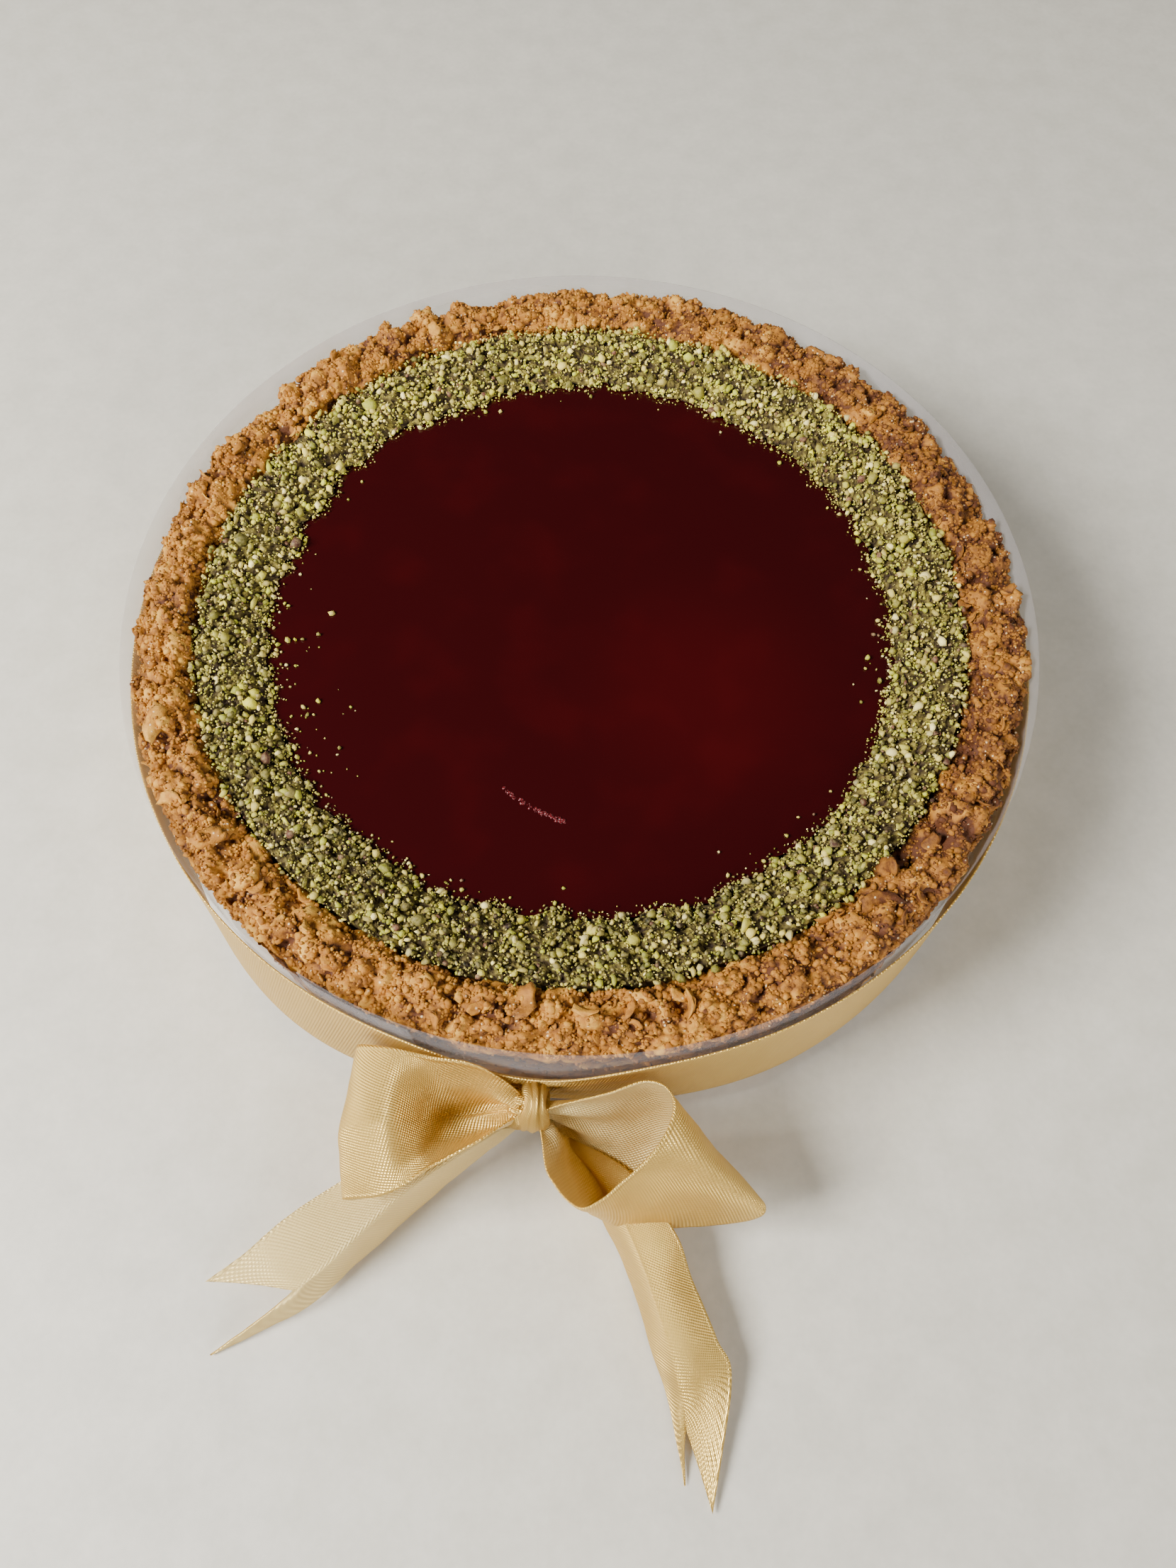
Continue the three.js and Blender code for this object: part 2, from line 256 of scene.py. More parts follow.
def noise(x, y, z):
    """Smooth noise from -1 to 1 on that grid."""
    x, y, z = np.broadcast_arrays(x, y, z)
    cell = [np.floor(axis) for axis in (x, y, z)]
    part = [(axis - low) ** 2 * (3 - 2 * (axis - low)) for axis, low in zip((x, y, z), cell)]
    total = np.zeros(x.shape)
    for corner in range(8):
        step = [corner & 1, corner >> 1 & 1, corner >> 2 & 1]
        weight = np.ones(x.shape)
        for share, up in zip(part, step):
            weight = weight * (share if up else 1 - share)
        total += weight * lattice(*(low + up for low, up in zip(cell, step)))
    return total


def pebbles(points, size, seed):
    """Distances to the nearest two of many scattered centres, about size apart, and a tone for each."""
    scaled = points / size
    cell = np.floor(scaled)
    nearest = np.full(len(points), 9.0)
    second = np.full(len(points), 9.0)
    tone = np.zeros(len(points))
    for step in np.ndindex(3, 3, 3):
        own = cell + np.array(step) - 1
        x, y, z = own[:, 0] + 31 * seed, own[:, 1], own[:, 2]
        jitter = np.stack([lattice(x, y + 7 * k, z + 13 * k) for k in (1, 2, 3)], axis=1)
        away = np.linalg.norm(own + 0.5 + 0.46 * jitter - scaled, axis=1)
        closer = away < nearest
        second = np.where(closer, nearest, np.minimum(second, away))
        tone = np.where(closer, lattice(x, y, z + 101), tone)
        nearest = np.where(closer, away, nearest)
    return nearest, second, tone


SECTORS = 15  # one is spun and the others are copied from it, which is much quicker than a full spin


def turned(profile, steps, ring=False):
    """A solid turned about +Z from (radius, height) points, on the axis at both ends or a ring."""
    form = bmesh.new()
    row = [form.verts.new((radius, 0, height)) for radius, height in profile]
    pairs = list(zip(row, row[1:])) + ([(row[-1], row[0])] if ring else [])
    edges = [form.edges.new(pair) for pair in pairs]
    sector = 2 * math.pi / SECTORS
    bmesh.ops.spin(
        form, geom=row + edges, cent=(0, 0, 0), axis=(0, 0, 1), angle=sector, steps=steps // SECTORS
    )
    first = form.verts[:] + form.edges[:] + form.faces[:]
    for count in range(1, SECTORS):
        copied = bmesh.ops.duplicate(form, geom=first)["geom"]
        moved = [part for part in copied if isinstance(part, bmesh.types.BMVert)]
        onward = Matrix.Rotation(count * sector, 3, "Z")
        bmesh.ops.rotate(form, cent=(0, 0, 0), matrix=onward, verts=moved)
    bmesh.ops.remove_doubles(form, verts=form.verts, dist=1e-4)
    bmesh.ops.recalc_face_normals(form, faces=form.faces)
    return form


def stepped(profile, step):
    """The same profile with a point at least every step."""
    fine = []
    for (r0, z0), (r1, z1) in zip(profile, profile[1:]):
        count = max(1, round(math.hypot(r1 - r0, z1 - z0) / step))
        fine += [(r0 + (r1 - r0) * i / count, z0 + (z1 - z0) * i / count) for i in range(count)]
    return fine + [profile[-1]]


def made(name, form):
    """The finished object, with its mesh in metres."""
    bmesh.ops.scale(form, vec=(MM, MM, MM), verts=form.verts)
    mesh = bpy.data.meshes.new(name)
    form.to_mesh(mesh)
    form.free()
    thing = bpy.data.objects.new(name, mesh)
    bpy.context.scene.collection.objects.link(thing)
    return thing


def corners(mesh):
    """The mesh's vertices in millimetres, and its normals."""
    places = np.empty(len(mesh.vertices) * 3)
    mesh.vertices.foreach_get("co", places)
    normals = np.empty(len(mesh.vertices) * 3)
    mesh.vertices.foreach_get("normal", normals)
    return places.reshape(-1, 3) / MM, normals.reshape(-1, 3)


def move_corners(mesh, places):
    mesh.vertices.foreach_set("co", (places * MM).astype(np.float32).ravel())
    mesh.update()


def note(mesh, name, values):
    """Keeps a number for each vertex, for the material to read."""
    mesh.attributes.new(name, "FLOAT", "POINT").data.foreach_set("value", values.astype(np.float32))


def smoothed(mesh):
    for face in mesh.polygons:
        face.use_smooth = True


def turn_of(points):
    """Each point's distance from the axis, and its bearing."""
    return np.hypot(points[:, 0], points[:, 1]), np.arctan2(points[:, 1], points[:, 0])


def points_at(radius, angle, height):
    return np.stack([radius * np.cos(angle), radius * np.sin(angle), height], axis=-1)


CAKE_RADIUS = 82.5
SHOULDER_RADIUS = CAKE_RADIUS + 0.9  # the shoulder leans out to the film
RECESS_RADIUS = 72.3
COLLAR_INSIDE = 84.2
RECESS_FLOOR = 28.6
GLAZE_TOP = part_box("fruit_glaze")[1].z / MM
SHOULDER = 36.7
CREST = 38.3
HIGHEST = 39.9  # the crags stop under the collar's top edge
CRUST_STEPS = 900


def held_in(points, reach):
    """Draws in the points whose reach from the axis would go through the film."""
    points[:, :2] *= np.minimum(COLLAR_INSIDE / reach, 1)[:, None]


# The steps up the profile get finer towards the rim
crust_profile = (
    [(0, 0), (60, 0)]
    + stepped([(60, 0), (CAKE_RADIUS - 0.8, 0)], 4)[1:]
    + stepped([(CAKE_RADIUS - 0.8, 0), (CAKE_RADIUS, 1.5), (CAKE_RADIUS, 25)], 0.62)[1:]
    + stepped([(CAKE_RADIUS, 25), (SHOULDER_RADIUS, 31), (SHOULDER_RADIUS, SHOULDER - 1.2)], 0.5)[1:]
    + stepped(
        [
            (SHOULDER_RADIUS, SHOULDER - 1.2),
            (CAKE_RADIUS - 0.9, CREST - 0.6),
            (CAKE_RADIUS - 4.0, CREST),
            (CAKE_RADIUS - 7.2, CREST - 0.5),
            (CAKE_RADIUS - 9.4, SHOULDER - 1),
            (RECESS_RADIUS, GLAZE_TOP),
        ],
        0.42,
    )[1:]
    + [(RECESS_RADIUS, RECESS_FLOOR), (0, RECESS_FLOOR)]
)
crust = made("biscuit_crust", turned(crust_profile, CRUST_STEPS))
places, _ = corners(crust.data)
radius, angle = turn_of(places)
height = places[:, 2]

# First its long unevenness: in and out round the rim, and up and down over the crest
wave = noise(np.cos(angle) * 2.2 + 9, np.sin(angle) * 2.2 + 4, 1.5)
crag = noise(*(places * 0.22).T) + 0.6 * noise(*(places * 0.5 + (7, 0, 0)).T)
outer = radius > CAKE_RADIUS - 1.6
top = height > SHOULDER - 3
wall = outer & ~top
rim = top & (radius > RECESS_RADIUS + 0.2)
radius = radius + np.where(wall, wave + 0.35 * crag * np.minimum(height / 4, 1), 0)
radius = radius + np.where(rim, wave * np.where(outer, 1, 0.5) + 0.45 * crag, 0)
height = height + np.where(rim, 1.5 * crag, 0)
move_corners(crust.data, points_at(radius, angle, height))
places, normals = corners(crust.data)

# Then lumps of crumb, the smaller clods and grains they are made of, and the crevices between them
LUMP, CLOD, GRAIN = 5.2, 2.5, 1.3
warp = np.stack([noise(*(places * 0.3 + shift).T) for shift in (3, 17, 41)], axis=1)
bent = places + 0.8 * warp
lump, lump_next, lump_tone = pebbles(bent, LUMP, 1)
clod, clod_next, clod_tone = pebbles(bent * (1, 1, 1.3), CLOD, 2)
grain, _, grain_tone = pebbles(places, GRAIN, 3)


def dome(near):
    """A round bump: 1 over the centre and 0 at the edge of a pebble."""
    return np.clip(1 - (near / 0.9) ** 2, 0, 1)


crevice = np.exp(-(lump_next - lump) / 0.11)
split = np.exp(-(clod_next - clod) / 0.15)
lift = 0.9 * dome(lump) + 0.45 * dome(clod) + 0.28 * dome(grain) - 0.9 * crevice - 0.35 * split
lift += 0.10 * clod_tone + 0.40 * lump_tone + 0.10 * grain_tone - 0.8
pits = [  # holes in the rim: the centre, how wide and how deep
    ((56, -48, 37), 2.6, 4.2),
    ((63, -45.3, 38), 3.0, 2.4),
    ((-62, 44, 38), 1.6, 2.5),
    ((12, -77, 38), 1.5, 2.6),
]
for centre, reach, depth in pits:
    away = np.linalg.norm(places - centre, axis=1)
    lift -= depth * np.exp(-((away / reach) ** 2))
share = (rim | wall) * np.where(wall, 0.5, 1.0) * np.clip((height - 1) / 3, 0, 1)
places = places + normals * (lift * share)[:, None]
radius, angle = turn_of(places)
held_in(places, np.maximum(radius, 1))
places[:, 2] = np.clip(places[:, 2], 0, HIGHEST)
move_corners(crust.data, places)
smoothed(crust.data)
# The relief is kept for the colour as well, where it paints shade in the crevices and pits.
note(crust.data, "lift", np.clip(0.55 + 0.40 * lift, 0, 1))
note(crust.data, "tone", 0.5 + 0.22 * clod_tone + 0.18 * lump_tone + 0.10 * grain_tone)

# The dark end of these colours is mostly painted shade, reached in the crevices and pits.
BISCUIT_DARK = (0.085, 0.022, 0.003)
BISCUIT_BROWN = (0.26, 0.096, 0.010)
BISCUIT = (0.42, 0.168, 0.017)
BISCUIT_PALE = (0.66, 0.345, 0.052)
SUGAR = (0.90, 0.68, 0.38)


def biscuit(name, relief):
    """Baked crumb: painted shade makes it brown in the crevices and pits and darker towards the right,
    it is golden on the lumps, and it has pale specks of sugar and oat."""
    finish = Finish(name, Roughness=0.72, Specular_IOR_Level=0.35)
    fine = finish.noise(0.7, 3, 0.65)
    coarse = finish.noise(2.6, 3, 0.6)
    patches = finish.noise(9, 2) - 0.5
    rightward, _, _ = finish.parts(finish.place())
    # Where relief is the crust's lift, it paints shade in the crevices and pits.
    tone_and_painted_shade = relief(finish) * 0.85 + finish.attribute("tone") * 0.55 + fine * 0.42 + coarse * 0.34
    # Painted shade: the crumb is darkened towards the right, the side away from the light.
    tone_and_painted_shade = tone_and_painted_shade + patches * 0.5 - rightward.smooth(0.005, 0.075) * 0.22 - 0.68
    colour = finish.ramp(
        tone_and_painted_shade, (0.08, BISCUIT_DARK), (0.30, BISCUIT_BROWN), (0.52, BISCUIT), (0.82, BISCUIT_PALE)
    )
    speck = 1 - finish.cells(1.1).smooth(0.12, 0.24)
    chosen = finish.noise(3.1, 1).smooth(0.52, 0.60)
    finish.set(Base_Color=finish.mix(speck * chosen * 0.8, colour, SUGAR))
    finish.bump(fine * 0.6 + finish.noise(0.25, 2) * 0.5 + speck * 0.3, 0.18, 0.8)
    return finish.material


crust.data.materials.append(biscuit("baked_biscuit", lambda finish: finish.attribute("lift")))
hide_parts("crust_cake")
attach(crust, "root")

# Loose biscuit crumbs and thin curled flakes of the same baked crust cling to its rim and wall, as
# they broke off when it was pressed. Each piece lies a little sunk in the crust.
CRUMB_TOP = 40.2  # no crumb's top stands higher
chance = np.random.default_rng(21)


def rough_ball(finer):
    """The corners and three-cornered faces of a ball with 20 or 80 faces."""
    form = bmesh.new()
    bmesh.ops.create_icosphere(form, subdivisions=2 if finer else 1, radius=1)
    points = np.array([vert.co for vert in form.verts])
    faces = np.array([[vert.index for vert in face.verts] for face in form.faces])
    form.free()
    return points, faces


def random_turns(count):
    """A turn of its own for each bit."""
    quaternions = chance.normal(size=(4, count))
    a, b, c, d = quaternions / np.linalg.norm(quaternions, axis=0)
    rows = [
        [1 - 2 * (c * c + d * d), 2 * (b * c - d * a), 2 * (b * d + c * a)],
        [2 * (b * c + d * a), 1 - 2 * (b * b + d * d), 2 * (c * d - b * a)],
        [2 * (b * d - c * a), 2 * (c * d + b * a), 1 - 2 * (b * b + c * c)],
    ]
    return np.moveaxis(np.array(rows), 2, 0)


def scattered(
    name, places, sizes, shape, turns, colours=None, tones=None, finer=False, bend=0, rough=0.3
):
    """One mesh of loose bits. shape gives each bit's own proportions, and no two are alike."""
    points, faces = rough_ball(finer)
    count = len(places)
    bits = points[None] * (1 + rough * chance.uniform(-1, 1, (count, len(points), 1)))
    bits = bits * shape[:, None, :] * sizes[:, None, None]
    bits[:, :, 2] += bend * bits[:, :, 0] ** 2 / np.maximum(sizes[:, None], 0.1)
    bits = np.einsum("nij,nkj->nki", turns, bits) + places[:, None, :]
    index = faces[None] + (np.arange(count) * len(points))[:, None, None]
    mesh = bpy.data.meshes.new(name)
    mesh.vertices.add(count * len(points))
    mesh.vertices.foreach_set("co", (bits * MM).astype(np.float32).ravel())
    mesh.loops.add(index.size)
    mesh.loops.foreach_set("vertex_index", index.astype(np.int32).ravel())
    mesh.polygons.add(index.size // 3)
    mesh.polygons.foreach_set("loop_start", np.arange(0, index.size, 3, dtype=np.int32))
    mesh.update(calc_edges=True)
    mesh.validate()
    if colours is not None:
        layer = mesh.color_attributes.new("bit_colour", "FLOAT_COLOR", "POINT")
        rgba = np.repeat(np.column_stack([colours, np.ones(count)]), len(points), axis=0)
        layer.data.foreach_set("color", rgba.astype(np.float32).ravel())
    if tones is not None:
        note(mesh, "tone", np.repeat(tones, len(points)))
    thing = bpy.data.objects.new(name, mesh)
    bpy.context.scene.collection.objects.link(thing)
    return thing


def lying(normals, steep):
    """Turns that lay each bit's flat side on the surface, tipped by up to steep."""
    tipped = normals + steep * chance.uniform(-1, 1, normals.shape)
    up = tipped / np.linalg.norm(tipped, axis=1)[:, None]
    along = np.cross(up, chance.normal(size=up.shape))
    along /= np.linalg.norm(along, axis=1)[:, None]
    return np.stack([along, np.cross(up, along), up], axis=2)


places, normals = corners(crust.data)
radius, angle = turn_of(places)
in_pit = np.zeros(len(places), bool)
for centre, reach, _ in pits:
    in_pit |= np.linalg.norm(places[:, :2] - centre[:2], axis=1) < 0.5 * reach
RIM_FOOT = 33.5
high = places[:, 2] > RIM_FOOT
on_rim = np.flatnonzero(high & (radius > RECESS_RADIUS + 0.6) & ~in_pit)
on_wall = np.flatnonzero(~high & (places[:, 2] > 2) & (radius > CAKE_RADIUS - 2.5))
crumb_finish = biscuit("loose_crumb", lambda finish: finish.noise(1.8) * 0.7 + 0.2)


def crumbs(name, seeds, sizes, proud):
    """Crumbs on these points of the crust, raised from it by this share of their size."""
    spots = places[seeds] + normals[seeds] * (sizes * proud)[:, None]
    held_in(spots, turn_of(spots)[0] + sizes)
    spots[:, 2] = np.minimum(spots[:, 2], CRUMB_TOP - sizes)
    shape = chance.uniform(0.65, 1.15, (len(seeds), 3))
    tones = chance.uniform(0.2, 0.85, len(seeds))
    bits = scattered(name, spots, sizes, shape, random_turns(len(seeds)), tones=tones, rough=0.2)
    smoothed(bits.data)
    bits.data.materials.append(crumb_finish)
    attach(bits, "root")


RIM_CRUMBS, RIM_GRAINS, WALL_CRUMBS, SMALL_FLAKES = 9500, 9000, 2600, 200
seeds = chance.choice(on_rim, RIM_CRUMBS)
crumbs("rim_crumbs", seeds, 0.34 + 0.55 * chance.random(RIM_CRUMBS) ** 2.5, proud=-0.15)
seeds = chance.choice(on_rim, RIM_GRAINS)
crumbs("rim_grains", seeds, 0.18 + 0.22 * chance.random(RIM_GRAINS), proud=0.2)
seeds = chance.choice(on_wall, WALL_CRUMBS)
crumbs("wall_crumbs", seeds, 0.22 + 0.5 * chance.random(WALL_CRUMBS) ** 3, proud=0.05)

# The flakes are thin and bent. Most are small, and the large ones stand at places of their own
seeds = chance.choice(on_rim, SMALL_FLAKES)
sizes = 0.7 + 1.1 * chance.random(SMALL_FLAKES) ** 2
large_flakes = [(-44, 74), (-37, 77), (-49, 76), (217, 79), (223, 77)]  # bearing and radius
large_flakes += [(199, 80), (264, 76), (277, 77), (284, 78), (152, 79)]
for bearing, reach in large_flakes:
    spot = points_at(reach, math.radians(bearing), 0)[:2]
    away = np.linalg.norm(places[on_rim, :2] - spot, axis=1)
    seeds = np.append(seeds, on_rim[np.argmin(away)])
    sizes = np.append(sizes, 2.1 + 0.8 * chance.random())
spots = places[seeds] + normals[seeds] * (0.06 * sizes)[:, None]
held_in(spots, turn_of(spots)[0] + sizes)
spots[:, 2] = np.minimum(spots[:, 2], CRUMB_TOP - 0.6 * sizes)
shape = np.stack(
    [
        chance.uniform(0.9, 1.3, len(sizes)),
        chance.uniform(0.45, 0.8, len(sizes)),
        chance.uniform(0.13, 0.22, len(sizes)),
    ],
    axis=1,
)
flakes = scattered(
    "rim_flakes",
    spots,
    sizes,
    shape,
    lying(normals[seeds], 0.7),
    tones=chance.uniform(0.35, 0.95, len(sizes)),
    finer=True,
    bend=0.32,
    rough=0.34,
)
smoothed(flakes.data)
flakes.data.materials.append(crumb_finish)
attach(flakes, "root")

# The glaze is a set fruit jelly, nearly black-red and level, a little redder where it is thin. It was
# poured over the filling, up to the crust, and its face is a little uneven.
GLAZE_RADIUS = 71.8
GLAZE_FOOT = RECESS_FLOOR + 0.3
GLAZE_STEPS = 330
glaze_profile = (
    [(0, GLAZE_FOOT), (GLAZE_RADIUS, GLAZE_FOOT)]
    + stepped([(GLAZE_RADIUS, GLAZE_TOP - 0.4), (GLAZE_RADIUS - 1.5, GLAZE_TOP - 0.1)], 0.5)
    + stepped([(GLAZE_RADIUS * 0.85, GLAZE_TOP - 0.02), (0, GLAZE_TOP)], 1.5)
)
glaze = made("fruit_jelly", turned(glaze_profile, GLAZE_STEPS))
places, _ = corners(glaze.data)
swell = 0.05 * noise(*(places * 0.09).T) + 0.02 * noise(*(places * 0.3).T)
places[:, 2] += np.where(places[:, 2] > GLAZE_TOP - 0.3, swell - 0.03, 0)
move_corners(glaze.data, places)
smoothed(glaze.data)

THIN_SPOT = (0.024, -0.014, 0.0326)  # metres
DEEP_RED = (0.024, 0.0013, 0.0018)
WARM_RED = (0.043, 0.0018, 0.0024)
jelly = Finish("fruit_jelly", Roughness=0.16, Specular_IOR_Level=0.35)
away = jelly.node(
    "ShaderNodeVectorMath", {"operation": "DISTANCE"}, {0: jelly.place(), 1: THIN_SPOT}, "Value"
)
thin = (1 - away.smooth(0.004, 0.032)) * 0.55 + jelly.noise(16, 2).smooth(0.45, 0.75) * 0.35
jelly.set(Base_Color=jelly.mix(thin, DEEP_RED, WARM_RED))
jelly.bump(jelly.noise(1.2, 3, 0.6), 0.012, 0.5)
glaze.data.materials.append(jelly.material)
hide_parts("fruit_glaze")
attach(glaze, "root")

# A short tear in the jelly's skin, where something brushed it as it set. Tiny beads of jelly stand
# along it, a lighter red than the glaze as a painted glint.
tear_start = np.array([-13.5, -35.0])
tear_end = np.array([-1.9, -41.4])
tear_side = np.array([0.48, 0.87])
along = np.concatenate([chance.beta(1.4, 1.2, 70), chance.uniform(0, 1, 30)])
across = chance.normal(0, 0.22, len(along))
spots = tear_start + along[:, None] * (tear_end - tear_start) + across[:, None] * tear_side
spots[:, 1] -= 0.9 * np.sin(along * math.pi)
sizes = 0.08 + 0.22 * chance.random(len(along)) ** 2
beads = scattered(
    "jelly_tear",
    np.column_stack([spots, np.full(len(spots), GLAZE_TOP - 0.03)]),
    sizes,
    np.tile((1.5, 0.9, 0.7), (len(spots), 1)),
    lying(np.tile((0.0, 0.0, 1.0), (len(spots), 1)), 0.4),
    finer=True,
)
# The beads are a lighter red than the glaze: a painted glint.
raised = Finish("jelly_with_painted_glint", Base_Color=(0.11, 0.008, 0.010), Roughness=0.10)
beads.data.materials.append(raised.material)
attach(beads, "root")

# The pistachios are chopped small and heaped in a ring on the glaze, up against the crust. The heap's
# own relief is the fine nut dust, and the pieces that can be told apart lie loose on it.
RING_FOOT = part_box("pistachio_ring")[0].z / MM
RING_INNER = 59.8
RING_OUTER = RECESS_RADIUS - 0.1
RING_WIDTH = RING_OUTER - RING_INNER
RING_HEIGHT = 3.6
RING_STEPS, ACROSS_STEPS = 1050, 40
# Shares of the way from the ring's inner edge to the crust, and of its height there
heap_shape = ([-0.1, 0, 0.1, 0.3, 0.54, 0.78, 1.0, 1.2], [0, 0.05, 0.25, 0.6, 0.88, 1.0, 0.95, 1.1])


def ring_edge(angle):
    """The radius of the ring's ragged inner edge."""
    c, s = np.cos(angle), np.sin(angle)
    edge = RING_INNER + 1.1 * noise(c * 3 + 2, s * 3 + 6, 4.5) + 0.8 * noise(c * 9, s * 9, 2.5)
    return edge + 1.3 * noise(c * 14, s * 14, 5.5) + 1.0 * noise(c * 31, s * 31, 7.5)


def heap_top(radius, angle):
    """Height of the heap's surface."""
    edge = ring_edge(angle)
    across = (radius - edge) / (RING_OUTER - edge)
    x, y = radius * np.cos(angle), radius * np.sin(angle)
    bumps = 1.2 * noise(x * 0.55, y * 0.55, 8.5) + 0.6 * noise(x * 0.2, y * 0.2, 3.5)
    bumps = bumps * np.clip(across * 5, 0, 1)
    return RING_FOOT + RING_HEIGHT * np.interp(across, *heap_shape) + bumps


ring_profile = [(RING_INNER + RING_WIDTH * i / ACROSS_STEPS, 1) for i in range(ACROSS_STEPS + 1)]
ring_profile += [(RING_OUTER, 0), (RING_INNER, 0)]
heap = made("pistachio_heap", turned(ring_profile, RING_STEPS, ring=True))
places, _ = corners(heap.data)
radius, angle = turn_of(places)
edge = ring_edge(angle)
radius = edge + (radius - RING_INNER) / RING_WIDTH * (RING_OUTER - edge)
surface = np.maximum(heap_top(radius, angle) - 0.35, RING_FOOT + 0.05)
top = places[:, 2] > 0.5
places = points_at(radius, angle, np.where(top, surface, RING_FOOT))
NUT, DUST = 1.0, 0.55
nut, _, nut_tone = pebbles(places, NUT, 5)
dust, _, dust_tone = pebbles(places, DUST, 6)
places[:, 2] += np.where(top, 0.6 * dome(nut) + 0.25 * dome(dust) - 0.6 + 0.3 * nut_tone, 0)
places[:, 2] = np.maximum(places[:, 2], RING_FOOT)
move_corners(heap.data, places)
note(heap.data, "tone", 0.5 + 0.35 * nut_tone + 0.15 * dust_tone)
# The relief is kept for the colour, which paints shade in the gaps between the lumps.
note(heap.data, "lift", dome(nut))

# NUT_SHADE, at the low end of the dust's colours, is painted shade in the gaps between lumps and pieces.
NUT_SHADE = (0.025, 0.012, 0.004)
NUT_OLIVE = (0.09, 0.065, 0.014)
NUT_GREEN = (0.26, 0.205, 0.035)
NUT_PALE = (0.52, 0.41, 0.12)
nut_dust = Finish("pistachio_dust", Roughness=0.8, Specular_IOR_Level=0.3)
tone_and_painted_shade = nut_dust.attribute("tone") * 0.6 + nut_dust.attribute("lift") * 0.35
tone_and_painted_shade = tone_and_painted_shade + nut_dust.noise(0.5, 2) * 0.3 - 0.32
nut_dust.set(
    Base_Color=nut_dust.ramp(
        tone_and_painted_shade, (0.15, NUT_SHADE), (0.4, NUT_OLIVE), (0.65, NUT_GREEN), (0.95, NUT_PALE)
    )
)
nut_dust.bump(nut_dust.noise(0.3, 2), 0.2, 0.7)
heap.data.materials.append(nut_dust.material)
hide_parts("pistachio_ring")
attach(heap, "root")

FLECK = (0.62, 0.50, 0.20)
nut_finish = Finish("chopped_pistachio", Roughness=0.62, Specular_IOR_Level=0.35)
own_colour = nut_finish.attribute("bit_colour", "Color")
flecks = nut_finish.noise(0.6, 2).smooth(0.35, 0.7)
nut_finish.set(Base_Color=nut_finish.mix(flecks * 0.25, own_colour, FLECK))
nut_finish.bump(nut_finish.noise(0.3, 2), 0.15, 0.6)

# The colours a piece can have, and how many in all have each
nut_colours = np.array(
    [
        (0.58, 0.46, 0.092),  # tan
        (0.44, 0.38, 0.045),  # olive
        (0.40, 0.40, 0.024),  # green
        (0.17, 0.15, 0.012),  # dark green
        (0.84, 0.70, 0.25),  # cream
        (0.58, 0.52, 0.03),  # yellow-green
        (0.11, 0.038, 0.022),  # purple-brown skin
    ]
)
nut_shares = np.array([0.24, 0.20, 0.17, 0.16, 0.11, 0.07, 0.05])


def own_colours(count):
    return nut_colours[chance.choice(len(nut_colours), count, p=nut_shares)]


def nuts(name, count, smallest, largest, spread, piled, clotting=-9):
    """Loose pieces over the heap, with painted light making them paler to the back and painted shade
    making them darker at the front. The higher clotting is, the more they keep to clumps."""
    tries = 2 * count
    angle = chance.uniform(0, 2 * math.pi, tries)
    share = chance.uniform(*spread, tries)
    radius = ring_edge(angle) + share * (RING_OUTER - ring_edge(angle))
    clotted = noise(radius * np.cos(angle) * 0.75, radius * np.sin(angle) * 0.75, 9.5)
    kept = np.flatnonzero(clotted + 0.12 * chance.normal(size=tries) > clotting)[:count]
    angle, radius, count = angle[kept], radius[kept], len(kept)
    sizes = smallest + (largest - smallest) * chance.random(count) ** 2
    lowest = RING_FOOT - 0.25
    level = np.maximum(heap_top(radius, angle) - 0.1, lowest)
    places = points_at(radius, angle, np.maximum(level + sizes * piled, lowest + 0.6 * sizes))
    colours = own_colours(count)
    clump = noise(places[:, 0] * 0.45, places[:, 1] * 0.45, 6.5) * 0.3
    # The sine of the bearing is painted light and shade: paler at the back, darker at the front.
    colours = colours * (chance.uniform(0.38, 1.40, count) + clump + 0.22 * np.sin(angle))[:, None]
    shape = chance.uniform(0.5, 1.15, (count, 3))
    bits = scattered(name, places, sizes, shape, random_turns(count), colours=colours, rough=0.36)
    bits.data.materials.append(nut_finish.material)
    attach(bits, "root")


nuts("pistachio_chunks", 230, 0.75, 1.45, spread=(0.03, 1.0), piled=0.3)
nuts("pistachio_pieces", 3800, 0.34, 0.85, spread=(-0.02, 1.08), piled=0.5, clotting=-0.24)
nuts("pistachio_grains", 6500, 0.20, 0.42, spread=(-0.06, 1.07), piled=0.7, clotting=-0.30)
nuts("pistachio_crumbs", 6500, 0.14, 0.28, spread=(-0.14, 1.05), piled=0.7)

# The bits that rolled off the heap lie singly on the glaze. Many are at the left, where they rolled
# furthest, and some more are at the right.
STRAYS, AT_LEFT, AT_RIGHT = 420, 110, 60
angle = chance.uniform(0, 2 * math.pi, STRAYS)
angle[:AT_LEFT] = np.radians(chance.normal(197, 11, AT_LEFT))
angle[AT_LEFT : AT_LEFT + AT_RIGHT] = np.radians(chance.normal(352, 7, AT_RIGHT))
rolled = chance.exponential(1.3, STRAYS)
rolled[:AT_LEFT] = chance.exponential(3.0, AT_LEFT)
sizes = 0.16 + 0.45 * chance.random(STRAYS) ** 2.5
strays = scattered(
    "pistachio_strays",
    points_at(ring_edge(angle) - rolled, angle, GLAZE_TOP + 0.5 * sizes),
    sizes,
    chance.uniform(0.6, 1.1, (STRAYS, 3)),
    random_turns(STRAYS),
    colours=own_colours(STRAYS),
)
strays.data.materials.append(nut_finish.material)
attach(strays, "root")

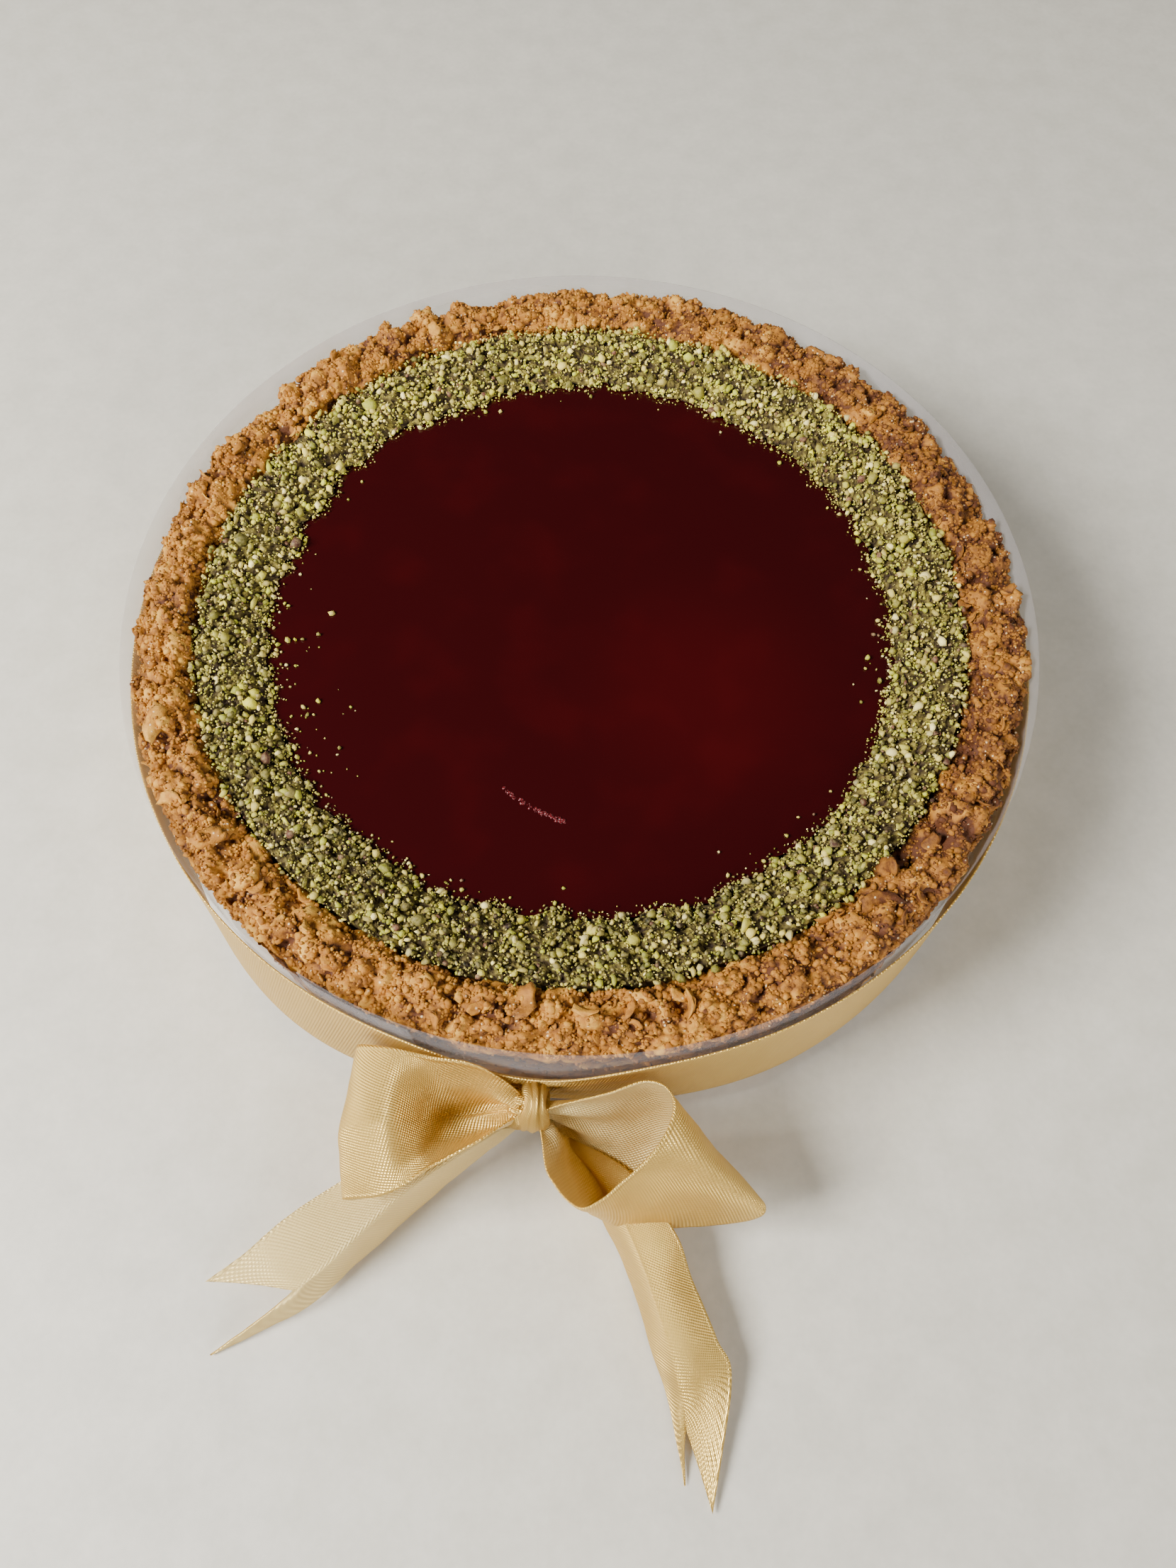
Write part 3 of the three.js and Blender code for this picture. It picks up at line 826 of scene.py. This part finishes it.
# The collar is one strip of clear film stood on edge round the cake, close to its wall. Its two ends
# are lapped at the front left, and the ribbon holds it.
COLLAR_RADIUS = 84.3
COLLAR_GROWTH = 0.45  # how much further out it runs after one turn, so that it clears its own start
COLLAR_THICKNESS = 0.2
COLLAR_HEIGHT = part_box("clear_collar")[1].z / MM
collar_start = math.radians(238)
collar_turn = 2 * math.pi + math.radians(14)
collar_steps = 420
strip = bmesh.new()
gone = np.arange(collar_steps + 1) / collar_steps * collar_turn
reach = COLLAR_RADIUS + COLLAR_THICKNESS / 2 + COLLAR_GROWTH * gone / (2 * math.pi)
foot = [strip.verts.new(point) for point in points_at(reach, collar_start + gone, 0 * gone)]
line = [strip.edges.new(pair) for pair in zip(foot, foot[1:])]
extruded = bmesh.ops.extrude_edge_only(strip, edges=line)["geom"]
upper = [part for part in extruded if isinstance(part, bmesh.types.BMVert)]
bmesh.ops.translate(strip, vec=(0, 0, COLLAR_HEIGHT), verts=upper)
bmesh.ops.recalc_face_normals(strip, faces=strip.faces)
collar = made("clear_film_collar", strip)
smoothed(collar.data)
wall_of_film = collar.modifiers.new("film", "SOLIDIFY")
wall_of_film.thickness = COLLAR_THICKNESS * MM
wall_of_film.offset = 0

film = Finish("clear_film", Base_Color=(0.95, 0.90, 0.90), Roughness=0.16, Specular_IOR_Level=0.25)
# It is nearly clear face on, and shows more where it is seen edge on. There its pale pinkish colour is a
# painted reflection, standing for the film's glare.
edge_on = film.node("ShaderNodeLayerWeight", None, {"Blend": 0.5}, "Facing")
film.set(Alpha=edge_on**3 * 0.34 + 0.06)
collar.data.materials.append(film.material)
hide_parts("clear_collar")
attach(collar, "root")

# The ribbon is one length of satin, 25 mm wide. It runs round the collar, is gathered into a knot at
# the front and tied in a bow: a flat left loop, an open right loop, and two tails cut in a swallowtail.
RIBBON_WIDTH = 25
BAND_HEIGHT = 22.5  # of the band's middle at the knot
BAND_DROP = 3.8  # it sits this much lower at the sides and the back
BAND_RADIUS = 85.55
BAND_FLARE = 3.2  # its lower edge stands out this much left of the knot, where it is slack
KNOT = np.array([-7.5, -89.0, 22.0])

# Each row holds one edge, the middle and the other edge of the ribbon at a place along it
left_loop = [
    [[-8.5, -88.5, 25.5], [-8.8, -90, 24], [-8.8, -91, 22.5]],
    [[-14.5, -85, 32], [-15.5, -90, 20.5], [-13.5, -95, 27]],
    [[-22, -83.6, 33.5], [-22, -91, 22], [-21, -99, 27.5]],
    [[-30, -81.8, 32.5], [-29.5, -93, 32], [-29.5, -103.5, 25]],
    [[-36, -80.5, 28], [-38, -94.5, 26], [-37.5, -104, 20]],
    [[-32, -81, 22], [-34.5, -93.5, 18], [-34.5, -103, 14]],
    [[-23.5, -83.4, 20], [-24, -89, 15], [-23, -98, 14]],
    [[-10.5, -88.5, 21], [-10.5, -89, 19], [-10.5, -90, 18]],
]
right_loop = [
    [[-5.5, -89.5, 25.5], [-5.5, -89.5, 23], [-5.2, -89.5, 20]],
    [[3.5, -88.5, 30], [5, -91.5, 19], [7.5, -98, 12]],
    [[12, -86.5, 32], [15.5, -91, 20], [19, -99.5, 12]],
    [[16, -89, 32], [22.8, -95, 24], [30, -102, 17]],
    [[14.5, -95, 32], [23.5, -101, 26], [31.5, -105.5, 16]],
    [[8.5, -101.5, 30], [15.5, -104, 19], [21.5, -106.5, 9]],
    [[1.5, -105.5, 27], [4.5, -106, 15], [7.5, -106, 5]],
    [[-3.5, -100.5, 25], [2, -99, 14], [11, -97, 9]],
    [[-4.5, -95, 24], [0.5, -93, 16], [6.5, -92, 11]],
    [[-5, -91.5, 22], [-4.5, -91, 20], [-4, -90.5, 18]],
]
right_tail = [
    [[-7, -91, 16], [-6, -91, 19], [-5.5, -91.5, 19]],
    [[1, -98, 5], [3.5, -98.5, 14], [9.5, -98, 13]],
    [[6, -106, 1.5], [9, -106.5, 11.5], [17.5, -107.5, 10]],
    [[10.5, -115.5, 1.2], [13, -115.5, 11], [20.5, -115, 8]],
    [[14, -126, 1], [16.5, -125.5, 9.0], [24.5, -124, 6.5]],
    [[17, -134.5, 0.8], [18.7, -132.5, 5.5], [27, -130.5, 4]],
    [[19, -146, 0.6], [19.3, -137.5, 2.8], [23.5, -149.8, 0.8]],
]
left_tail = [
    [[-9, -91, 16], [-9.5, -91, 19], [-9.5, -91.5, 19.5]],
    [[-19.5, -97, 4], [-22, -97.5, 14], [-29, -94.5, 15]],
    [[-28.5, -104.5, 1.4], [-31, -104, 12], [-40.5, -100.5, 11]],
    [[-38, -113, 1.2], [-39.5, -112, 10.5], [-49.5, -106, 8]],
    [[-47, -120.5, 1], [-44.5, -116, 9], [-56.5, -111.5, 5]],
    [[-61.5, -127.5, 0.6], [-47, -117.5, 7.5], [-64, -116, 0.8]],
]


def rail(points, at):
    """A smooth line through the points, read at shares of its length."""
    points = np.array(points, float)
    padded = np.vstack([2 * points[0] - points[1], points, 2 * points[-1] - points[-2]])
    reach = at * (len(points) - 1)
    span = np.minimum(reach.astype(int), len(points) - 2)
    t = (reach - span)[:, None]
    a, b, c, d = (padded[span + k] for k in range(4))
    slope = (c - a) / 2 * t
    curve = (2 * a - 5 * b + 4 * c - d) / 2 * t**2
    return b + slope + curve + (3 * (b - c) + d - a) / 2 * t**3


def free_stretch(stations, along, across, pleats, flare, crease=0.0):
    """A grid of points over a stretch of ribbon, pleated where it leaves the knot, and creased."""
    at = np.linspace(0, 1, along + 1)
    v = np.linspace(0, 1, across + 1)[None, :, None]
    edge, middle, far_edge = (rail([row[k] for row in stations], at)[:, None] for k in range(3))
    curved = edge * (1 - v) * (1 - 2 * v) + middle * 4 * v * (1 - v) + far_edge * v * (2 * v - 1)
    bent = edge * np.maximum(1 - 2 * v, 0) + middle * (1 - np.abs(2 * v - 1))
    bent = bent + far_edge * np.maximum(2 * v - 1, 0)
    grid = curved + crease * (bent - curved)
    run = np.gradient(grid, axis=0)
    face = np.cross(run, np.gradient(grid, axis=1))
    face /= np.linalg.norm(face, axis=2)[:, :, None]
    near = np.exp(-((np.linalg.norm(grid - KNOT, axis=2) / flare) ** 2))
    fold = np.cos(v[:, :, 0] * pleats * 2 * math.pi + 3 * at[:, None] + pleats)
    soft = 0.22 * noise(*(grid * 0.16).transpose(2, 0, 1))
    soft = soft + 0.10 * noise(*(grid * 0.45).transpose(2, 0, 1))
    return grid + face * (0.85 * near * fold + soft)[:, :, None]


def hoop(centre, reach, width, tilt, along, across):
    """A grid round the knot: a pleated strand of ribbon wrapped over it."""
    turn = np.linspace(0, 2 * math.pi, along + 1)[:, None]
    v = np.linspace(-1, 1, across + 1)[None, :]
    swell = 1 - 0.28 * v**4 + 0.05 * np.cos(v * 9) * (1 - v**2)
    half = width / 2 * (1 + 0.25 * np.cos(2 * turn))
    points = np.stack(
        [v * half + 0 * turn, reach[0] * np.cos(turn) * swell, reach[1] * np.sin(turn) * swell], axis=2
    )
    return points @ np.array(Matrix.Rotation(tilt, 3, "Y")).T + centre


def throat(along, across):
    """A grid round the gathered ribbon that passes through the knot."""
    at = np.linspace(-1, 1, along + 1)[:, None]
    turn = np.linspace(0, 2 * math.pi, across + 1)[None, :]
    pleat = 1 + 0.10 * np.cos(8 * turn + 2 * at) + 0.05 * np.cos(13 * turn)
    wide = 2.6 - 0.8 * np.abs(at) ** 3
    tall = 3.8 - 1.2 * np.abs(at) ** 3
    points = np.stack(
        [3.4 * at + 0 * turn, -wide * np.cos(turn) * pleat, tall * np.sin(turn) * pleat], axis=2
    )
    return points + KNOT


def band_stretch(along, across):
    """A grid round the collar, narrowed and pleated towards the knot."""
    turn = np.linspace(0, 2 * math.pi, along + 1)[:, None]
    v = np.linspace(-0.5, 0.5, across + 1)[None, :]
    away = turn - math.atan2(KNOT[1], KNOT[0])
    away -= 2 * math.pi * np.round(away / (2 * math.pi))
    gather = np.exp(-((away / 0.17) ** 2))
    width = RIBBON_WIDTH * (1 - 0.55 * gather)
    middle = BAND_HEIGHT - BAND_DROP * (1 - np.exp(-((away / 0.9) ** 2)))
    slack = np.exp(-(((away + 0.52) / 0.34) ** 2)) + 0.45 * np.exp(-(((away - 0.55) / 0.35) ** 2))
    reach = BAND_RADIUS + 0.35 * gather * (1 + np.cos(v * 26))
    reach = reach + 0.10 * noise(6 * np.cos(turn), 6 * np.sin(turn), v * 3)
    reach = reach + BAND_FLARE * slack * (0.5 - v)
    return points_at(reach, turn, middle + v * width)


stretches = [
    band_stretch(560, 20),
    free_stretch(left_loop, 120, 36, 2.5, 12.0, crease=0.5),
    free_stretch(right_loop, 150, 36, 3.0, 13.0),
    free_stretch(right_tail, 100, 30, 1.5, 7.0, crease=0.75),
    free_stretch(left_tail, 90, 30, 1.5, 7.0, crease=0.75),
    throat(24, 72),
    hoop(KNOT + (0.8, 0, 0), (4.0, 5.9), 4.4, 0.10, 48, 20),
    hoop(KNOT + (-1.2, 0.2, -0.4), (3.7, 5.2), 3.8, 0.62, 48, 20),
]
corner_rows, face_rows, weave_rows, first = [], [], [], 0
for grid in stretches:
    rows, columns = grid.shape[:2]
    index = first + np.arange(rows * columns).reshape(rows, columns)
    corner_rows.append(grid.reshape(-1, 3))
    face_rows.append(
        np.stack([index[:-1, :-1], index[1:, :-1], index[1:, 1:], index[:-1, 1:]], axis=2).reshape(-1, 4)
    )
    middle = grid[:, columns // 2]
    gone = np.concatenate([[0], np.cumsum(np.linalg.norm(np.diff(middle, axis=0), axis=1))])
    width = np.linspace(0, RIBBON_WIDTH, columns)
    weave_rows.append(np.stack(np.meshgrid(gone, width, indexing="ij"), axis=2).reshape(-1, 2))
    first += rows * columns
ribbon_mesh = bpy.data.meshes.new("satin_ribbon_tied")
faces = np.concatenate(face_rows)
ribbon_mesh.from_pydata((np.concatenate(corner_rows) * MM).tolist(), [], faces.tolist())
weave_map = ribbon_mesh.uv_layers.new(name="weave")
weave_places = np.concatenate(weave_rows)[faces.ravel()] * MM
weave_map.data.foreach_set("uv", weave_places.astype(np.float32).ravel())
# Its matching ends are joined, which closes the band, the throat and the hoops
whole = bmesh.new()
whole.from_mesh(ribbon_mesh)
bmesh.ops.remove_doubles(whole, verts=whole.verts, dist=1e-6)
whole.to_mesh(ribbon_mesh)
whole.free()
smoothed(ribbon_mesh)
ribbon_mesh.update()
ribbon = bpy.data.objects.new("satin_ribbon_tied", ribbon_mesh)
bpy.context.scene.collection.objects.link(ribbon)
cloth = ribbon.modifiers.new("cloth", "SOLIDIFY")
cloth.thickness = 0.3 * MM
cloth.offset = 0
cloth.material_offset = 1
cloth.use_even_offset = False

GOLD, GOLD_SHADE = (0.92, 0.65, 0.19), (0.60, 0.37, 0.075)
# The reverse is paler than the face: partly its own duller side, and partly painted light for the shaded
# insides of the loops.
REVERSE_GOLD_PAINTED_LIGHT, REVERSE_SHADE_PAINTED_LIGHT = (0.94, 0.74, 0.32), (0.68, 0.48, 0.16)


def satin(name, colour, shade, sheen, ribs):
    """Woven satin: fine ribs that cross on a slant, and a hem along each edge. Some of the light that
    falls on it comes through."""
    finish = Finish(name, Roughness=0.33, Metallic=sheen, Specular_IOR_Level=0.3)
    own = Wire(finish, finish.shader.outputs[0])
    through = finish.node("ShaderNodeBsdfTranslucent", None, {"Color": colour})
    both = finish.node("ShaderNodeMixShader", None, {"Fac": 0.22, 1: own, 2: through})
    finish.join(finish.tree.nodes["Material Output"].inputs["Surface"], both)
    along, across, _ = finish.parts(finish.node("ShaderNodeUVMap", {"uv_map": "weave"}))
    turn = 2 * math.pi / (ribs * MM)
    slanting = finish.math("SINE", (along + across * 0.6) * turn)
    crossing = finish.math("SINE", (along * 0.35 - across) * turn)
    dots = slanting * crossing * 0.5 + 0.5
    from_middle = finish.math("ABSOLUTE", across - RIBBON_WIDTH / 2 * MM)
    hem = from_middle.smooth(11.6 * MM, 12.2 * MM)
    finish.set(Base_Color=finish.mix(dots * 0.5 + finish.noise(6, 2) * 0.3, colour, shade))
    finish.bump(dots + hem * 1.5, 0.22, 0.8)
    return finish.material


ribbon_mesh.materials.append(satin("satin_face", GOLD, GOLD_SHADE, sheen=0.76, ribs=0.75))
ribbon_mesh.materials.append(satin("satin_reverse", REVERSE_GOLD_PAINTED_LIGHT, REVERSE_SHADE_PAINTED_LIGHT, sheen=0.30, ribs=0.80))
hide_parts("satin_ribbon")
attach(ribbon, "root")

low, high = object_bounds()
